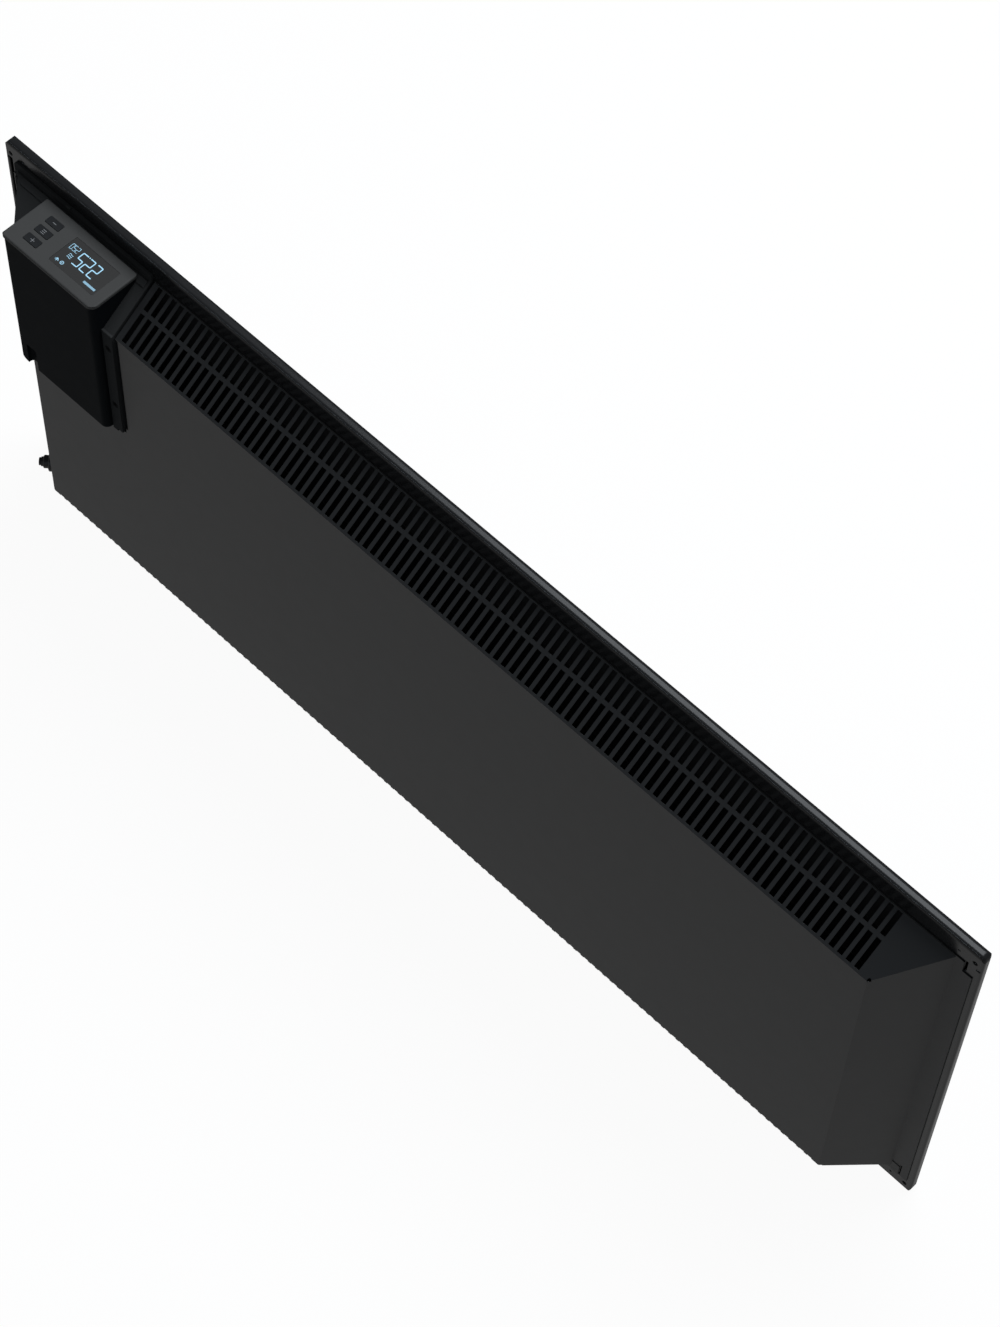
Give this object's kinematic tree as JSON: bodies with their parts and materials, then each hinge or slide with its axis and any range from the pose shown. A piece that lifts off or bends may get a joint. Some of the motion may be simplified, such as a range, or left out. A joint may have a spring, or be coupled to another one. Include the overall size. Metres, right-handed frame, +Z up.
{
  "type": "wall panel convector heater",
  "caption": "Slim wall convector with a rolled-edge front panel, a hipped slotted rear casing and a corner control unit with display and push buttons.",
  "frame": {"origin": "centre of the casing's flat back, the face that lies against the wall bracket", "axes": "+Y out of the back, towards the wall; +X along the heater towards the control unit, to the right of someone facing the front; +Z up"},
  "size_m": [0.915, 0.0592, 0.3754],
  "materials": {
    "panel_paint": "powder coated sheet steel, satin, charcoal",
    "casing_paint": "powder coated sheet steel, matt with a fine grain, charcoal",
    "bright_sheet": "bare galvanised or aluminised sheet",
    "fibre_board": "mineral fibre board, matt",
    "fin_aluminium": "bare extruded and pierced aluminium",
    "rod_steel": "heat-tinted steel sheath",
    "ceramic": "unglazed steatite ceramic",
    "black_plastic": "black moulded resin",
    "lead_sleeve": "glass-fibre sleeved wire",
    "natural_nylon": "natural nylon",
    "brass_stud": "plain brass",
    "base_plastic": "black moulded plastic with a fine texture",
    "housing_plastic": "black moulded plastic with a fine texture",
    "bezel_plastic": "dark grey moulded plastic, satin",
    "window_plastic": "smoked acrylic",
    "button_plastic": "dark grey moulded plastic",
    "circuit_board": "glass-epoxy laminate with green solder mask",
    "relay_plastic": "blue moulded plastic",
    "capacitor_epoxy": "yellow moulded plastic",
    "terminal_plastic": "green moulded plastic",
    "screw_steel": "zinc-plated steel",
    "gland_plastic": "black nylon",
    "gland_rubber": "black rubber"
  },
  "bodies": {
    "heater": {"front_panel": "panel_paint", "rear_casing": "casing_paint", "heat_shield": "bright_sheet", "spacer_strips": "fibre_board", "element_fins": "fin_aluminium", "heating_rod": "rod_steel", "rod_end_bushes": "ceramic", "element_bracket_left": "bright_sheet", "element_bracket_right": "bright_sheet", "thermal_cutout": "black_plastic", "element_leads": "lead_sleeve", "lead_clips": "natural_nylon", "earth_stud": "brass_stud", "control_base": "base_plastic", "base_screws": "screw_steel", "control_housing": "housing_plastic", "control_bezel": "bezel_plastic", "display_window": "window_plastic", "display_module": "black_plastic", "display_board": "circuit_board", "display_screws": "screw_steel", "tact_switches": "black_plastic", "power_board": "circuit_board", "power_board_screws": "screw_steel", "relay": "relay_plastic", "power_module": "black_plastic", "filter_capacitor": "capacitor_epoxy", "terminal_block": "terminal_plastic", "room_sensor": "black_plastic", "gland_body": "gland_plastic", "gland_cap": "gland_plastic", "gland_seal": "gland_rubber", "gland_nut": "gland_plastic"},
    "button_minus": {"button_minus": "button_plastic"},
    "button_menu": {"button_menu": "button_plastic"},
    "button_plus": {"button_plus": "button_plastic"}
  },
  "joints": [
    {"name": "button_minus_press", "type": "slide", "parent": "heater", "child": "button_minus", "axis": [0, 0, -1], "range_m": [0, 0.0006], "stiffness_N_per_m": 600},
    {"name": "button_menu_press", "type": "slide", "parent": "heater", "child": "button_menu", "axis": [0, 0, -1], "range_m": [0, 0.0006], "stiffness_N_per_m": 600},
    {"name": "button_plus_press", "type": "slide", "parent": "heater", "child": "button_plus", "axis": [0, 0, -1], "range_m": [0, 0.0006], "stiffness_N_per_m": 600}
  ]
}
